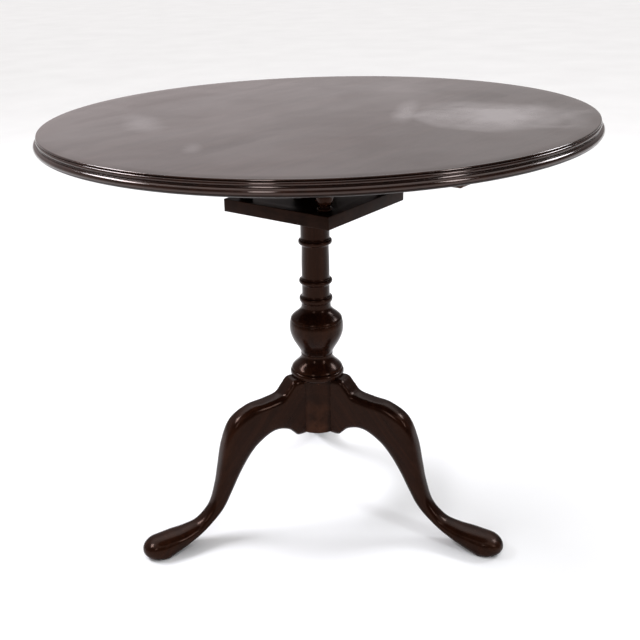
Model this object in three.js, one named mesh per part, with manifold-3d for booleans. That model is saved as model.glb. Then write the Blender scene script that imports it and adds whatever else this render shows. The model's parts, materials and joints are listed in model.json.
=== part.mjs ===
// Tilt-top tea table: a round moulded top that tips up and turns on a birdcage, over a turned
// column with three cabriole legs. Millimetres, +Z up. The origin is on the floor, on the column's
// axis. The battens run along X and the pivot pins along Y.
import * as THREE from 'three';
import { mergeVertices } from 'three/addons/utils/BufferGeometryUtils.js';
import Module from 'manifold-3d';

const wasm = await Module();
wasm.setup();

// ---------- driving dimensions ----------
const tableHeight = 724;
const topDiameter = 884;
const topThickness = 24;
const seatGap = 0.3;             // between pieces that touch
const turnClearance = 0.5;       // radial, round pieces that turn or slide
const slideClearance = 0.4;      // flat pieces that slide

const surfaceStep = 3.2;         // the flat surface's edge stands this far above the bead
const beadHeight = 6.5;
const beadDepth = 3;
const quirkDepth = 2.5;
const bullnoseDepth = 5.5;
const bullnoseUndercut = 12;     // how far the nose runs in underneath
const noseRise = 8;              // widest part of the nose above the underside
const filletHeight = 0.8;        // flat between nose and bead, and between bead and surface
const surfaceEdge = 1.2;         // rounding of the surface's own edge

const blockSide = 212;           // both blocks of the birdcage are square
const lowerBlockThickness = 21;
const upperBlockThickness = 23.4;
const cageOpening = 81;          // height between the two blocks
const pillarInset = 26;          // pillar axis in from the block's sides
const pillarRadius = 14.5;
const pillarNeckRadius = 8.5;
const pillarTenonRadius = 8;

const pivotInset = 10;           // pivot axis in from the block's side
const pivotDrop = 12;            // pivot axis below the top's underside
const pivotPinRadius = 6.5;
const battenWidth = 28;
const battenDepth = 23.7;
const battenEndMargin = 70;      // batten's corners in from the top's rim
const battenSideClearance = 1;
const battenPinStop = 3;         // batten left beyond the end of the pin's hole
const battenChamfer = 6;

const drumRadius = 43;
const drumBottom = 168;
const drumHeight = 100;
const shaftFootRadius = 23.8;
const shaftTopRadius = 23.1;
const ringRadius = 28.6;
const bulbRadius = 46.8;
const bulbHeight = 51;           // from the waist below the bulb to its widest part
const bulbShoulderHeight = 14;   // from there to the incised line
const bulbNeckHeight = 25;       // from the incised line to the neck above
const waistRadius = 27.2;
const bulbNeckRadius = 25.5;
const lipProud = 4.4;            // lip and cushion stand out past the drum
const cushionProud = 2;
const lipHeight = 13;
const cushionHeight = 26;
const columnNeckRadius = 25;
const lowerRingRise = 13;        // above the bulb's neck
const ringSpacing = 32.5;
const upperRingDrop = 60;        // upper ring below the column's shoulder
const spigotRadius = 20;
const journalRadius = 11;
const journalLength = 50;
const journalDrop = 2;           // journal's end below the upper block's top
const spigotTaper = 8;           // height over which the spigot narrows to its journal
const mortiseCover = 6;          // solid wood kept above the wedge's mortise
const mortisePlay = 3;           // mortise left open below the wedge

const feetRadius = 355;          // toe ends from the column's axis
const legHeading = 7.8;          // degrees from +X to the first leg
const legWidth = 42;
const dovetailNeck = 22;         // widths of the dovetail at the drum's face and at its root
const dovetailRoot = 29;
const dovetailDepth = 21;
const dovetailStop = 12;         // drum left above the dovetail sockets

const spiderThickness = 2.4;
const spiderHubRadius = 22;
const spiderArmWidth = 14;
const spiderOverLeg = 6;         // how far the spider's arms run out under the legs
const spiderScrewInset = 9;      // arm screws in from the drum's face

const cageCollarRadius = 36;
const cageCollarHeight = 12;
const wedgeThickness = 11;
const wedgeThinHeight = 12;
const wedgeThickHeight = 20;
const wedgeThinReach = 62;       // ends of the wedge from the column's axis
const wedgeThickReach = 80;
const wedgeHeading = -90;        // degrees from +X: along the pivot pins

const catchPlate = { length: 56, width: 34, thickness: 1.6, fromBlock: 6, screwInset: 5 };
const catchBolt = { length: 52, width: 10, thickness: 4, travel: 8, standOff: 2, play: 2 };
const catchGuide = { length: 8, wall: 3, inset: 10 };
const catchKnob = { radius: 3.5, height: 9, play: 1.5 };   // play to the guide at each end
const keeper = { width: 36, height: 14, thickness: 1.6, topEdge: 0.3, screwInset: 4.5,
  screwDrop: 2 };

const battenScrew = { head: 4.5, shank: 2.3, length: 36, sink: 3.5 };
const spiderScrew = { head: 4, shank: 2, length: 18, sink: 2.2 };
const smallScrew = { head: 2.8, shank: 1.4, length: 10, sink: 1.5 };
const battenScrewEnd = 67;       // outer screws in from the batten's ends
const battenScrewInner = 60;     // inner screws from the middle

const turnSteps = 32;            // facets round the column
const topSteps = 64;
const smallSteps = 12;
const screwSteps = 10;
const legStepsPerStation = 2;
const legSectionSteps = 14;
const toeStations = [18, 36, 52, 66, 78, 86];   // degrees round the toe's end

// ---------- heights that follow ----------
const topUnderside = tableHeight - topThickness;
const upperBlockTop = topUnderside - seatGap;
const upperBlockBottom = upperBlockTop - upperBlockThickness;
const lowerBlockTop = upperBlockBottom - cageOpening;
const lowerBlockBottom = lowerBlockTop - lowerBlockThickness;
const shoulder = lowerBlockBottom - seatGap;
const blockHalf = blockSide / 2;
const pivotX = blockHalf - pivotInset;
const pivotZ = topUnderside - pivotDrop;
const battenY = blockHalf + battenSideClearance + battenWidth / 2;
const battenOuter = battenY + battenWidth / 2;
const battenHalf = Math.sqrt((topDiameter / 2 - battenEndMargin) ** 2 - battenOuter ** 2);
const battenBottom = topUnderside - seatGap - battenDepth;
const battenScrewPlaces = [battenScrewEnd - battenHalf, -battenScrewInner,
  battenScrewInner, battenHalf - battenScrewEnd];
const drumTop = drumBottom + drumHeight;
const lipRadius = drumRadius + lipProud;
const cageCollarTop = lowerBlockTop + seatGap + cageCollarHeight;

// ---------- solids ----------
function weld(geometry) {
  const bare = geometry.index ? geometry.toNonIndexed() : geometry.clone();
  bare.deleteAttribute('normal');
  bare.deleteAttribute('uv');
  const merged = mergeVertices(bare, 1e-4);
  const index = merged.index.array;
  const kept = [];
  for (let i = 0; i < index.length; i += 3) {
    const [a, b, c] = [index[i], index[i + 1], index[i + 2]];
    if (a !== b && b !== c && c !== a) kept.push(a, b, c);
  }
  merged.setIndex(kept);
  return merged;
}

function signedVolume(geometry) {
  const p = geometry.attributes.position;
  const index = geometry.index.array;
  const [a, b, c] = [new THREE.Vector3(), new THREE.Vector3(), new THREE.Vector3()];
  let volume = 0;
  for (let i = 0; i < index.length; i += 3) {
    a.fromBufferAttribute(p, index[i]);
    b.fromBufferAttribute(p, index[i + 1]);
    c.fromBufferAttribute(p, index[i + 2]);
    volume += a.dot(b.cross(c)) / 6;
  }
  return volume;
}

function solid(geometry) {
  const closed = weld(geometry);
  if (signedVolume(closed) < 0) closed.setIndex([...closed.index.array].reverse());
  return new wasm.Manifold(new wasm.Mesh({
    numProp: 3,
    vertProperties: new Float32Array(closed.attributes.position.array),
    triVerts: new Uint32Array(closed.index.array),
  }));
}

function cut(body, ...tools) {
  return tools.reduce((rest, tool) => rest.subtract(tool), body);
}

function join(...bodies) {
  return bodies.reduce((all, body) => all.add(body));
}

function toMesh(name, body, material) {
  const { vertProperties, triVerts, numProp } = body.getMesh();
  const positions = new Float32Array((vertProperties.length / numProp) * 3);
  for (let i = 0; i < positions.length / 3; i += 1) {
    for (let k = 0; k < 3; k += 1) positions[3 * i + k] = vertProperties[numProp * i + k];
  }
  const geometry = new THREE.BufferGeometry();
  geometry.setAttribute('position', new THREE.BufferAttribute(positions, 3));
  geometry.setIndex([...triVerts]);
  geometry.computeVertexNormals();
  const mesh = new THREE.Mesh(geometry, material);
  mesh.name = name;
  return mesh;
}

// A solid turned about Z from [radius, height] points.
function turned(points, steps) {
  const profile = points.map(([r, z]) => new THREE.Vector2(r, z));
  return solid(new THREE.LatheGeometry(profile, steps).rotateX(Math.PI / 2));
}

function box(low, high) {
  const size = high.map((v, i) => v - low[i]);
  const mid = high.map((v, i) => (v + low[i]) / 2);
  return solid(new THREE.BoxGeometry(...size).translate(...mid));
}

// A plan outline in XY, raised from z0 to z1.
function raised(points, z0, z1) {
  const shape = new THREE.Shape(points.map(([x, y]) => new THREE.Vector2(x, y)));
  const geometry = new THREE.ExtrudeGeometry(shape, { depth: z1 - z0, bevelEnabled: false });
  return solid(geometry.translate(0, 0, z0));
}

// A side outline in XZ, running from y0 to y1.
function alongY(points, y0, y1) {
  const shape = new THREE.Shape(points.map(([x, z]) => new THREE.Vector2(x, z)));
  const geometry = new THREE.ExtrudeGeometry(shape, { depth: y1 - y0, bevelEnabled: false });
  return solid(geometry.rotateX(Math.PI / 2).translate(0, y1, 0));
}

function rod(radius, z0, z1, steps) {
  return turned([[0, z0], [radius, z0], [radius, z1], [0, z1]], steps);
}

// Corner radius of a faceted bore whose flats clear a turned piece.
function boreFor(radius, clearance, steps) {
  return (radius + clearance) / Math.cos(Math.PI / steps);
}

// Points of an ellipse's arc about (cx, cy), from one angle to another in degrees.
function arc(cx, cy, rx, ry, from, to, steps) {
  return Array.from({ length: steps + 1 }, (_, i) => {
    const angle = THREE.MathUtils.degToRad(from + ((to - from) * i) / steps);
    return [cx + rx * Math.cos(angle), cy + ry * Math.sin(angle)];
  });
}

// A turned curve between two radii, level at both ends; a low power brings the swell on sooner.
function swell([r0, z0], [r1, z1], power, steps) {
  return Array.from({ length: steps + 1 }, (_, i) => {
    const t = i / steps;
    const share = Math.sin((Math.PI / 2) * t ** power) ** 2;
    return [r0 + (r1 - r0) * share, z0 + (z1 - z0) * t];
  });
}

// ---------- screws ----------
// A countersunk screw whose head lies at z = 0 and whose point goes up.
function screw({ head, shank, length, sink }) {
  const point = 2 * shank;
  return turned([[0, 0], [head, 0], [shank, sink], [shank, length - point], [0, length]], screwSteps);
}

function screwHole({ head, shank, length, sink }) {
  const r = (radius) => boreFor(radius, seatGap, screwSteps);
  const mouth = -1;
  const points = [[0, mouth], [r(head), mouth], [r(head), 0], [r(shank), sink + seatGap]];
  return turned([...points, [r(shank), length + seatGap], [0, length + seatGap]], screwSteps);
}

// ---------- top ----------
function topProfile() {
  const rim = topDiameter / 2;
  const root = rim - bullnoseDepth;
  const nose = topUnderside + noseRise;
  const beadTop = tableHeight - surfaceStep;
  const beadFoot = beadTop - beadHeight;
  const noseTop = beadFoot - filletHeight;
  return [
    [0, topUnderside],
    ...arc(rim - bullnoseUndercut, nose, bullnoseUndercut, noseRise, -90, 0, 5),
    ...arc(root, nose, bullnoseDepth, noseTop - nose, 20, 90, 4),
    ...arc(root - 2, (beadFoot + beadTop) / 2, beadDepth, beadHeight / 2, -60, 90, 4),
    [root - quirkDepth, beadTop + filletHeight],
    [root, tableHeight - surfaceEdge],
    [root - surfaceEdge, tableHeight],
    [0, tableHeight],
  ];
}

const catchNear = -blockHalf - catchPlate.fromBlock;
const catchFar = catchNear - catchPlate.length;

function battenScrewPoints() {
  return [-1, 1].flatMap((side) => battenScrewPlaces.map((x) => [x, side * battenY]));
}

function catchScrewPoints() {
  const y = catchPlate.width / 2 - catchPlate.screwInset;
  const ends = [catchNear - catchPlate.screwInset, catchFar + catchPlate.screwInset];
  return ends.flatMap((x) => [[x, -y], [x, y]]);
}

function tableTop() {
  const battenHoles = battenScrewPoints().map(([x, y]) => (
    screwHole(battenScrew).translate([x, y, battenBottom])));
  const catchHoles = catchScrewPoints().map(([x, y]) => (
    screwHole(smallScrew).translate([x, y, catchPlateBottom])));
  return cut(turned(topProfile(), topSteps), ...battenHoles, ...catchHoles);
}

// ---------- battens ----------
function batten(side) {
  const inner = side * (battenY - battenWidth / 2);
  const outer = side * (battenY + battenWidth / 2);
  const end = battenHalf;
  const run = battenHalf - battenChamfer;
  const top = battenBottom + battenDepth;
  const rise = battenBottom + battenChamfer;
  const outline = [
    [-end, top], [-end, rise], [-run, battenBottom], [run, battenBottom], [end, rise], [end, top],
  ];
  const bar = alongY(outline, Math.min(inner, outer), Math.max(inner, outer));
  const hole = boreFor(pivotPinRadius, turnClearance, smallSteps);
  const deepest = outer - side * battenPinStop;
  const mouth = inner - side;
  const pinHole = alongY(
    arc(pivotX, pivotZ, hole, hole, 0, 360 - 360 / smallSteps, smallSteps - 1),
    Math.min(mouth, deepest), Math.max(mouth, deepest));
  const holes = battenScrewPlaces.map((x) => (
    screwHole(battenScrew).translate([x, side * battenY, battenBottom])));
  return cut(bar, pinHole, ...holes);
}

// ---------- catch ----------
const catchPlateBottom = topUnderside - seatGap - catchPlate.thickness;
const boltTop = catchPlateBottom - slideClearance;
const boltBottom = boltTop - catchBolt.thickness;
const boltTip = -blockHalf - catchBolt.standOff;
const secondGuideInset = catchGuide.inset + catchGuide.length
  + 2 * (catchKnob.radius + catchKnob.play) + catchBolt.travel;
const knobX = catchNear - secondGuideInset + catchKnob.play + catchKnob.radius;

function catchPlateBody() {
  const halfWidth = catchPlate.width / 2;
  const plateTop = catchPlateBottom + catchPlate.thickness;
  const plate = box([catchFar, -halfWidth, catchPlateBottom], [catchNear, halfWidth, plateTop]);
  const channelHalf = catchBolt.width / 2 + slideClearance;
  const channelBottom = boltBottom - slideClearance;
  const guideHalf = channelHalf + catchGuide.wall;
  const guides = [catchGuide.inset, secondGuideInset].map((inset) => box(
    [catchNear - inset - catchGuide.length, -guideHalf, channelBottom - catchGuide.wall / 2],
    [catchNear - inset, guideHalf, catchPlateBottom + catchPlate.thickness / 2]));
  const channel = box([catchFar - 1, -channelHalf, channelBottom],
    [catchNear + 1, channelHalf, catchPlateBottom]);
  const holes = catchScrewPoints().map(([x, y]) => (
    screwHole(smallScrew).translate([x, y, catchPlateBottom])));
  return cut(join(plate, ...guides), channel, ...holes);
}

function catchBoltBody() {
  const half = catchBolt.width / 2;
  const bar = box([boltTip - catchBolt.length, -half, boltBottom], [boltTip, half, boltTop]);
  const stem = catchKnob.radius * 0.6;
  const foot = boltBottom - catchKnob.height;
  const knob = turned([
    [0, foot], [catchKnob.radius * 0.7, foot], [catchKnob.radius, foot + 1.5],
    [catchKnob.radius, foot + 3.5], [stem, foot + 5], [stem, boltBottom + 1], [0, boltBottom + 1],
  ], smallSteps);
  return join(bar, knob.translate([knobX, 0, 0]));
}

// ---------- birdcage ----------
const keeperTop = upperBlockTop - keeper.topEdge;
const keeperBottom = keeperTop - keeper.height;
const boltHole = {
  half: catchBolt.width / 2 + 2 * slideClearance,
  bottom: boltBottom - slideClearance,
  top: boltTop + slideClearance,
};

function keeperScrewPoints() {
  const y = keeper.width / 2 - keeper.screwInset;
  const z = (keeperTop + keeperBottom) / 2 - keeper.screwDrop;
  return [[-y, z], [y, z]];
}

function keeperHoles() {
  return keeperScrewPoints().map(([y, z]) => (
    screwHole(smallScrew).rotate([0, 90, 0]).translate([-blockHalf, y, z])));
}

function keeperPlate() {
  const half = keeper.width / 2;
  const plate = box([-blockHalf, -half, keeperBottom],
    [-blockHalf + keeper.thickness, half, keeperTop]);
  const hole = box([-blockHalf - 1, -boltHole.half, boltHole.bottom],
    [-blockHalf + keeper.thickness + 1, boltHole.half, boltHole.top]);
  return cut(plate, hole, ...keeperHoles());
}

function pillarPlaces() {
  const p = blockHalf - pillarInset;
  return [[p, p], [-p, p], [-p, -p], [p, -p]];
}

function pillarHoles(z0, z1) {
  const radius = boreFor(pillarTenonRadius, seatGap, smallSteps);
  return pillarPlaces().map(([x, y]) => rod(radius, z0, z1, smallSteps).translate([x, y, 0]));
}

function lowerBlock() {
  const slab = box([-blockHalf, -blockHalf, lowerBlockBottom], [blockHalf, blockHalf, lowerBlockTop]);
  const bore = rod(boreFor(spigotRadius, turnClearance, turnSteps),
    lowerBlockBottom - 1, lowerBlockTop + 1, turnSteps);
  return cut(slab, bore, ...pillarHoles(lowerBlockBottom - 1, lowerBlockTop + 1));
}

// The edge over the pivot is rounded about the pivot's axis, so that the top can swing past it.
function upperBlock() {
  const round = pivotDrop - seatGap;
  const sideAngle = THREE.MathUtils.radToDeg(Math.acos(Math.min(1, pivotInset / round)));
  const outline = [
    [-blockHalf, upperBlockBottom], [blockHalf, upperBlockBottom],
    ...arc(pivotX, pivotZ, round, round, sideAngle, 90, 6), [-blockHalf, upperBlockTop],
  ];
  const slab = alongY(outline, -blockHalf, blockHalf);
  const pinEnd = battenOuter - battenPinStop - seatGap;
  const pinRound = arc(pivotX, pivotZ, pivotPinRadius, pivotPinRadius,
    0, 360 - 360 / smallSteps, smallSteps - 1);
  const pins = alongY(pinRound, -pinEnd, pinEnd);
  const bore = rod(boreFor(journalRadius, turnClearance, turnSteps),
    upperBlockBottom - 1, upperBlockTop + 1, turnSteps);
  const rebate = box([-blockHalf - 1, -keeper.width / 2 - seatGap, keeperBottom - seatGap],
    [-blockHalf + keeper.thickness + seatGap, keeper.width / 2 + seatGap, upperBlockTop + 1]);
  const reach = -blockHalf - catchBolt.standOff + catchBolt.travel + catchBolt.play;
  const mortise = box([-blockHalf - 1, -boltHole.half, boltHole.bottom],
    [reach, boltHole.half, boltHole.top]);
  return cut(join(slab, pins), bore, rebate, mortise, ...keeperHoles(),
    ...pillarHoles(upperBlockBottom - 1, upperBlockTop + 1));
}

function pillar() {
  const foot = lowerBlockTop + seatGap;
  const head = upperBlockBottom - seatGap;
  const height = head - foot;
  const collarHalf = 3;
  const bulbMiddle = foot + 0.28 * height;
  const bulbHalf = 0.15 * height;
  const neck = pillarNeckRadius;
  return turned([
    [0, lowerBlockBottom], [pillarTenonRadius, lowerBlockBottom], [pillarTenonRadius, foot],
    [neck + 3, foot], [neck + 3.5, foot + collarHalf], [neck, foot + 2 * collarHalf],
    ...arc(neck, bulbMiddle, pillarRadius - neck, bulbHalf, -80, 70, 5),
    [neck, foot + 0.62 * height], [neck - 1, head - 3 * collarHalf],
    [neck + 3, head - 2 * collarHalf], [neck + 3, head],
    [pillarTenonRadius, head], [pillarTenonRadius, upperBlockTop], [0, upperBlockTop],
  ], smallSteps);
}

function cageCollar() {
  const bore = boreFor(spigotRadius, turnClearance, turnSteps);
  const z0 = lowerBlockTop + seatGap;
  const z1 = cageCollarTop;
  const edge = cageCollarHeight / 3;
  const outer = cageCollarRadius;
  const outline = [
    [bore, z0], [outer - edge / 2, z0], [outer, z0 + edge], [outer, z1 - edge], [outer - edge, z1],
    [bore, z1], [bore, z0],
  ];
  return turned(outline, turnSteps);
}

const wedgeBottom = cageCollarTop + seatGap;

function wedgeTopAt(x) {
  const along = (x + wedgeThinReach) / (wedgeThinReach + wedgeThickReach);
  return wedgeBottom + wedgeThinHeight + along * (wedgeThickHeight - wedgeThinHeight);
}

function cageWedge() {
  const outline = [
    [-wedgeThinReach, wedgeBottom], [wedgeThickReach, wedgeBottom],
    [wedgeThickReach, wedgeTopAt(wedgeThickReach)], [-wedgeThinReach, wedgeTopAt(-wedgeThinReach)],
  ];
  return alongY(outline, -wedgeThickness / 2, wedgeThickness / 2).rotate([0, 0, wedgeHeading]);
}

// ---------- column ----------
// A raised ring: a small bead with a hollow running into the shaft on each side.
function ring(z, shaftBelow, shaftAbove) {
  const bead = 4;
  const hollow = 8.5;
  const stepOut = 1.5;
  const beadRoot = Math.max(shaftBelow, shaftAbove) + stepOut;
  return [
    [shaftBelow, z - hollow], [shaftBelow + stepOut, z - bead],
    ...arc(beadRoot, z, ringRadius - beadRoot, bead, -50, 50, 4),
    [shaftAbove + stepOut, z + bead], [shaftAbove, z + hollow],
  ];
}

function columnProfile() {
  const lipTop = drumTop + lipHeight;
  const cushionFoot = lipTop + 1.5;
  const waist = cushionFoot + cushionHeight;
  const widest = waist + bulbHeight;
  const incised = widest + bulbShoulderHeight;
  const bulbNeck = incised + bulbNeckHeight;
  const lowerRing = bulbNeck + lowerRingRise;
  const middleRing = lowerRing + ringSpacing;
  const upperRing = shoulder - upperRingDrop;
  const shoulderRadius = bulbRadius - 1.6;
  const groove = 0.8;
  const mortiseTop = wedgeTopAt(spigotRadius) + slideClearance;
  const journalTop = upperBlockTop - journalDrop;
  const taperTop = Math.max(mortiseTop + mortiseCover + spigotTaper, journalTop - journalLength);
  const taperFoot = taperTop - spigotTaper;
  return [
    [0, drumBottom], [drumRadius, drumBottom], [drumRadius, drumTop],
    ...arc(drumRadius, drumTop + lipHeight / 2, lipProud, lipHeight / 2, -65, 65, 4),
    [drumRadius, lipTop],
    ...swell([drumRadius + cushionProud, cushionFoot], [waistRadius, waist], 0.75, 7),
    ...swell([waistRadius + 0.2, waist + 1.5], [bulbRadius, widest], 0.75, 8),
    [bulbRadius - 0.4, widest + bulbShoulderHeight / 2],
    [shoulderRadius, incised - groove], [shoulderRadius - groove, incised],
    ...swell([shoulderRadius - 0.3, incised + groove], [bulbNeckRadius, bulbNeck], 0.85, 6),
    ...ring(lowerRing, bulbNeckRadius, shaftFootRadius),
    ...ring(middleRing, shaftFootRadius, shaftFootRadius),
    [shaftFootRadius, (middleRing + upperRing) / 2],
    ...ring(upperRing, shaftTopRadius, columnNeckRadius),
    [columnNeckRadius, shoulder], [spigotRadius, shoulder],
    [spigotRadius, taperFoot], [journalRadius, taperTop],
    [journalRadius, journalTop], [0, journalTop],
  ];
}

// Plan of a leg's dovetail, pointing along +X from the drum's face inwards.
function dovetail(gap, z0, z1) {
  const face = drumRadius + 2;
  const root = drumRadius - dovetailDepth - gap;
  return raised([
    [root, -dovetailRoot / 2 - gap], [drumRadius, -dovetailNeck / 2 - gap],
    [face, -dovetailNeck / 2 - gap], [face, dovetailNeck / 2 + gap],
    [drumRadius, dovetailNeck / 2 + gap], [root, dovetailRoot / 2 + gap],
  ], z0, z1);
}

const legAngles = [0, 1, 2].map((i) => legHeading + 120 * i);
const dovetailTop = drumTop - dovetailStop;

// The spider's outline, grown by a gap and opened downwards where it is a recess.
function spiderBlank(gap, opening) {
  const low = drumBottom - opening;
  const high = drumBottom + spiderThickness + gap;
  const half = spiderArmWidth / 2 + gap;
  const arms = legAngles.map((angle) => (
    box([0, -half, low], [drumRadius + spiderOverLeg + gap, half, high]).rotate([0, 0, angle])));
  return join(rod(spiderHubRadius + gap, low, high, turnSteps), ...arms);
}

const spiderRecess = () => spiderBlank(seatGap, 6);

function spiderScrewPoints() {
  const onArms = legAngles.map((angle) => {
    const heading = THREE.MathUtils.degToRad(angle);
    const reach = drumRadius - spiderScrewInset;
    return [reach * Math.cos(heading), reach * Math.sin(heading)];
  });
  return [[0, 0], ...onArms];
}

function spiderHoles() {
  return spiderScrewPoints().map(([x, y]) => screwHole(spiderScrew).translate([x, y, drumBottom]));
}

function column() {
  const sockets = legAngles.map((angle) => (
    dovetail(seatGap, drumBottom - 1, dovetailTop + seatGap).rotate([0, 0, angle])));
  const half = wedgeThickness / 2 + slideClearance;
  const mortise = box([-2 * spigotRadius, -half, wedgeBottom - mortisePlay],
    [2 * spigotRadius, half, wedgeTopAt(spigotRadius) + slideClearance]).rotate([0, 0, wedgeHeading]);
  return cut(turned(columnProfile(), turnSteps), ...sockets, mortise,
    spiderRecess(), ...spiderHoles());
}

// ---------- legs ----------
// Stations down the leg: the back's point, the underside's point, width and squareness, where
// width is a share of the leg's own and squareness is the power of the section's superellipse.
// Points are [share of the reach from drum to toe, share of the rise from floor to drum's top].
const legStations = [
  { back: [-0.03, 1.010], under: [-0.03, 0.612], width: 1.00, square: 7 },
  { back: [0.034, 1.012], under: [0.022, 0.612], width: 1.00, square: 7 },
  { back: [0.074, 0.968], under: [0.046, 0.634], width: 1.00, square: 6 },
  { back: [0.117, 0.921], under: [0.080, 0.668], width: 1.00, square: 5 },
  { back: [0.203, 0.902], under: [0.143, 0.690], width: 1.00, square: 4.5 },
  { back: [0.310, 0.888], under: [0.204, 0.675], width: 1.00, square: 4 },
  { back: [0.419, 0.820], under: [0.286, 0.612], width: 0.98, square: 3.6 },
  { back: [0.480, 0.682], under: [0.347, 0.527], width: 0.90, square: 3.2 },
  { back: [0.514, 0.515], under: [0.403, 0.423], width: 0.79, square: 3 },
  { back: [0.537, 0.397], under: [0.444, 0.333], width: 0.72, square: 2.8 },
  { back: [0.582, 0.254], under: [0.505, 0.215], width: 0.68, square: 2.6 },
  { back: [0.662, 0.163], under: [0.588, 0.130], width: 0.75, square: 2.6 },
  { back: [0.740, 0.136], under: [0.672, 0.075], width: 0.96, square: 2.7 },
  { back: [0.820, 0.130], under: [0.765, 0.033], width: 1.17, square: 2.8 },
  { back: [0.900, 0.126], under: [0.880, -0.018], width: 1.25, square: 2.8 },
];

function legSections() {
  const reach = feetRadius - drumRadius;
  const place = ([share, rise]) => new THREE.Vector3(drumRadius + share * reach, rise * drumTop, 0);
  const smooth = (points) => new THREE.CatmullRomCurve3(points, false, 'centripetal');
  const back = smooth(legStations.map((s) => place(s.back)));
  const under = smooth(legStations.map((s) => place(s.under)));
  const fit = smooth(legStations.map((s) => new THREE.Vector3(s.width * legWidth, s.square, 0)));
  const steps = (legStations.length - 1) * legStepsPerStation;
  const sections = Array.from({ length: steps + 1 }, (_, i) => {
    const t = i / steps;
    const { x: width, y: square } = fit.getPoint(t);
    return { back: back.getPoint(t), under: under.getPoint(t), width, square };
  });
  return [...sections, ...toeSections(sections.at(-1))];
}

// The toe closes in an ellipse seen from above and from the side.
function toeSections({ back, under, width, square }) {
  const middle = (back.y + under.y) / 2;
  return toeStations.map((degrees) => {
    const angle = THREE.MathUtils.degToRad(degrees);
    const shrink = Math.cos(angle);
    const toTip = (point) => new THREE.Vector3(
      point.x + (feetRadius - point.x) * Math.sin(angle), middle + (point.y - middle) * shrink, 0);
    return { back: toTip(back), under: toTip(under), width: width * shrink, square };
  });
}

function sectionPoints({ back, under, width, square }) {
  const middle = back.clone().add(under).multiplyScalar(0.5);
  const half = back.clone().sub(under).multiplyScalar(0.5);
  return Array.from({ length: legSectionSteps }, (_, k) => {
    const angle = (2 * Math.PI * (k + 0.5)) / legSectionSteps;
    const squared = (v) => Math.sign(v) * Math.abs(v) ** (2 / square);
    const up = squared(Math.sin(angle));
    const across = squared(Math.cos(angle));
    return [middle.x + half.x * up, (across * width) / 2, middle.y + half.y * up];
  });
}

// A skin over a row of sections, closed at both ends.
function loft(sections) {
  const count = sections[0].length;
  const centre = (section) => [0, 1, 2].map((k) => (
    section.reduce((sum, p) => sum + p[k], 0) / section.length));
  const points = [...sections.flat(), centre(sections[0]), centre(sections.at(-1))];
  const last = (sections.length - 1) * count;
  const faces = [];
  for (let k = 0; k < count; k += 1) {
    const next = (k + 1) % count;
    for (let s = 0; s < last; s += count) {
      faces.push(s + k, s + next, s + count + next, s + k, s + count + next, s + count + k);
    }
    faces.push(last + count, next, k, last + count + 1, last + k, last + next);
  }
  const geometry = new THREE.BufferGeometry();
  geometry.setAttribute('position', new THREE.Float32BufferAttribute(points.flat(), 3));
  geometry.setIndex(faces);
  return solid(geometry);
}

function leg(angle) {
  const blank = loft(legSections().map(sectionPoints));
  const belowFloor = box([0, -legWidth * 2, -50], [feetRadius * 2, legWidth * 2, 0]);
  const drum = rod(boreFor(drumRadius, seatGap, turnSteps), 0, drumTop, turnSteps);
  const lip = rod(boreFor(lipRadius, seatGap, turnSteps), drumTop - seatGap, drumTop * 2, turnSteps);
  const tenon = dovetail(0, drumBottom, dovetailTop);
  const placed = join(cut(blank, belowFloor, drum, lip), tenon).rotate([0, 0, angle]);
  return cut(placed, spiderRecess(), ...spiderHoles());
}

// ---------- materials ----------
function finish(color, roughness, metalness) {
  return new THREE.MeshStandardMaterial({ color, roughness, metalness });
}
const mahogany = finish(0x3a1a12, 0.3, 0);
const underWood = finish(0x4b2c1c, 0.6, 0);
const brass = finish(0xa88a4a, 0.35, 1);
const iron = finish(0x35322f, 0.6, 0.8);

// ---------- assembly ----------
const table = new THREE.Group();
const add = (name, body, material) => table.add(toMesh(name, body, material));

add('column', column(), mahogany);
legAngles.forEach((angle, i) => add(`leg_${i + 1}`, leg(angle), mahogany));
add('spider_plate', cut(spiderBlank(0, 0), ...spiderHoles()), iron);
spiderScrewPoints().forEach(([x, y], i) => (
  add(`spider_screw_${i + 1}`, screw(spiderScrew).translate([x, y, drumBottom]), iron)));
add('cage_collar', cageCollar(), mahogany);
add('cage_wedge', cageWedge(), mahogany);

add('lower_block', lowerBlock(), mahogany);
add('upper_block', upperBlock(), underWood);
pillarPlaces().forEach(([x, y], i) => (
  add(`pillar_${i + 1}`, pillar().translate([x, y, 0]), mahogany)));
add('keeper_plate', keeperPlate(), brass);
keeperScrewPoints().forEach(([y, z], i) => add(`keeper_screw_${i + 1}`,
  screw(smallScrew).rotate([0, 90, 0]).translate([-blockHalf, y, z]), brass));

add('table_top', tableTop(), mahogany);
[-1, 1].forEach((side, i) => add(`batten_${i + 1}`, batten(side), underWood));
battenScrewPoints().forEach(([x, y], i) => (
  add(`batten_screw_${i + 1}`, screw(battenScrew).translate([x, y, battenBottom]), iron)));
add('catch_plate', catchPlateBody(), brass);
catchScrewPoints().forEach(([x, y], i) => (
  add(`catch_screw_${i + 1}`, screw(smallScrew).translate([x, y, catchPlateBottom]), brass)));
add('catch_bolt', catchBoltBody(), brass);

export default table;
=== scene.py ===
# Tilt-top tea table: the visual model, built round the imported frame. Metres, +Z up.
# Every turned piece and leg is modelled afresh at full fineness in the place of its CAD node.
# The sawn and filed pieces are copies of their CAD nodes with their edges softened.
import itertools
import json
import math

import bmesh
import bpy
from mathutils import Matrix, Vector, noise


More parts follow.
